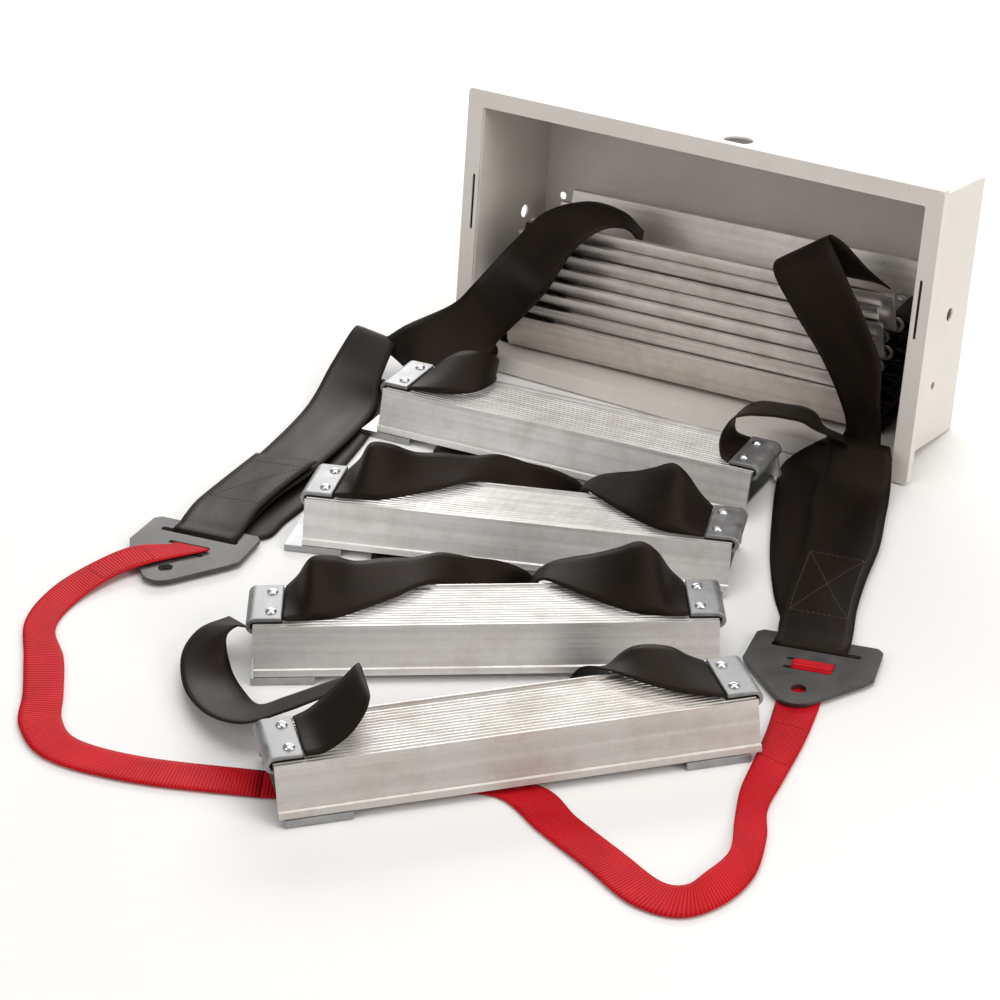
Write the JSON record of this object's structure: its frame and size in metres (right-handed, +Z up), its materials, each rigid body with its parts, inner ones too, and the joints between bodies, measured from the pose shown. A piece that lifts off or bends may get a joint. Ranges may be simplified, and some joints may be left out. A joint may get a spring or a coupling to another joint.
{
  "type": "escape ladder",
  "caption": "Strap-sided emergency escape ladder with ribbed channel rungs, partly unpacked from its recessed steel wall box, with anchor plates and a bridle strap.",
  "frame": {"origin": "on the floor, under the middle of the whole laid-out object's bounding box", "axes": "+X along the width of the wall box, to the right seen from in front, +Y towards the back of the box, +Z up"},
  "size_m": [0.5789, 0.7196, 0.2144],
  "materials": {
    "box_paint": "off-white powder coat",
    "rung_aluminium": "mill finish, drawn lengthwise",
    "clip_aluminium": "tumbled, satin",
    "rivet_aluminium": "bright, domed",
    "shoe_aluminium": "dull mill finish",
    "plate_steel": "dark grey satin",
    "black_webbing": "tight black seat-belt webbing with a soft sheen",
    "red_webbing": "red cross-ribbed webbing"
  },
  "bodies": {
    "root": {"box_shell": "box_paint", "face_flange": "box_paint", "webbing_4_stack_left": "black_webbing", "webbing_4_stack_right": "black_webbing", "top_strap_left": "black_webbing", "top_strap_right": "black_webbing", "bridle_strap": "red_webbing"},
    "stack": {"stack_rung_1": "rung_aluminium", "stack_rung_2": "rung_aluminium", "stack_rung_3": "rung_aluminium", "stack_rung_4": "rung_aluminium", "stack_rung_5": "rung_aluminium", "stack_rung_6": "rung_aluminium", "stack_rung_7": "rung_aluminium", "stack_rung_8": "rung_aluminium"},
    "rung_4": {"rung_4_channel": "rung_aluminium", "rung_4_clip_left": "clip_aluminium", "rung_4_rivet_left_front": "rivet_aluminium", "rung_4_rivet_left_rear": "rivet_aluminium", "rung_4_shoe_left": "shoe_aluminium", "rung_4_clip_right": "clip_aluminium", "rung_4_rivet_right_front": "rivet_aluminium", "rung_4_rivet_right_rear": "rivet_aluminium", "rung_4_shoe_right": "shoe_aluminium", "webbing_3_4_left": "black_webbing", "webbing_3_4_right": "black_webbing"},
    "rung_3": {"rung_3_channel": "rung_aluminium", "rung_3_clip_left": "clip_aluminium", "rung_3_rivet_left_front": "rivet_aluminium", "rung_3_rivet_left_rear": "rivet_aluminium", "rung_3_shoe_left": "shoe_aluminium", "rung_3_clip_right": "clip_aluminium", "rung_3_rivet_right_front": "rivet_aluminium", "rung_3_rivet_right_rear": "rivet_aluminium", "rung_3_shoe_right": "shoe_aluminium", "webbing_2_3_left": "black_webbing", "webbing_2_3_right": "black_webbing"},
    "rung_2": {"rung_2_channel": "rung_aluminium", "rung_2_clip_left": "clip_aluminium", "rung_2_rivet_left_front": "rivet_aluminium", "rung_2_rivet_left_rear": "rivet_aluminium", "rung_2_shoe_left": "shoe_aluminium", "rung_2_clip_right": "clip_aluminium", "rung_2_rivet_right_front": "rivet_aluminium", "rung_2_rivet_right_rear": "rivet_aluminium", "rung_2_shoe_right": "shoe_aluminium", "webbing_1_2_left": "black_webbing", "webbing_1_2_right": "black_webbing"},
    "rung_1": {"rung_1_channel": "rung_aluminium", "rung_1_clip_left": "clip_aluminium", "rung_1_rivet_left_front": "rivet_aluminium", "rung_1_rivet_left_rear": "rivet_aluminium", "rung_1_shoe_left": "shoe_aluminium", "rung_1_clip_right": "clip_aluminium", "rung_1_rivet_right_front": "rivet_aluminium", "rung_1_rivet_right_rear": "rivet_aluminium", "rung_1_shoe_right": "shoe_aluminium"},
    "left_plate": {"anchor_plate_left": "plate_steel"},
    "right_plate": {"anchor_plate_right": "plate_steel"}
  },
  "joints": [
    {"name": "stack_slide", "type": "slide", "parent": "root", "child": "stack", "axis": [0, -0.9925, 0.1221], "range_m": [0, 0.015], "deforming": ["webbing_4_stack_left", "webbing_4_stack_right", "top_strap_left", "top_strap_right"]},
    {"name": "rung_4_lift", "type": "slide", "parent": "root", "child": "rung_4", "axis": [0, 0, 1], "range_m": [0, 0.08], "deforming": ["webbing_4_stack_left", "webbing_4_stack_right"]},
    {"name": "rung_3_lift", "type": "slide", "parent": "rung_4", "child": "rung_3", "axis": [0, 0, 1], "range_m": [0, 0.08], "deforming": ["webbing_3_4_left", "webbing_3_4_right"]},
    {"name": "rung_2_lift", "type": "slide", "parent": "rung_3", "child": "rung_2", "axis": [0, 0, 1], "range_m": [0, 0.08], "deforming": ["webbing_2_3_left", "webbing_2_3_right"]},
    {"name": "rung_1_lift", "type": "slide", "parent": "rung_2", "child": "rung_1", "axis": [0, 0, 1], "range_m": [0, 0.08], "deforming": ["webbing_1_2_left", "webbing_1_2_right"]},
    {"name": "left_plate_hinge", "type": "hinge", "parent": "root", "child": "left_plate", "pos_m": [-0.2125, -0.0868, 0.002], "axis": [-0.9839, -0.1788, 0], "range_deg": [0, 70], "deforming": ["top_strap_left", "bridle_strap"]},
    {"name": "right_plate_hinge", "type": "hinge", "parent": "root", "child": "right_plate", "pos_m": [0.2065, 0.0082, 0.002], "axis": [-0.9703, -0.2419, 0], "range_deg": [0, 70], "deforming": ["top_strap_right", "bridle_strap"]}
  ]
}
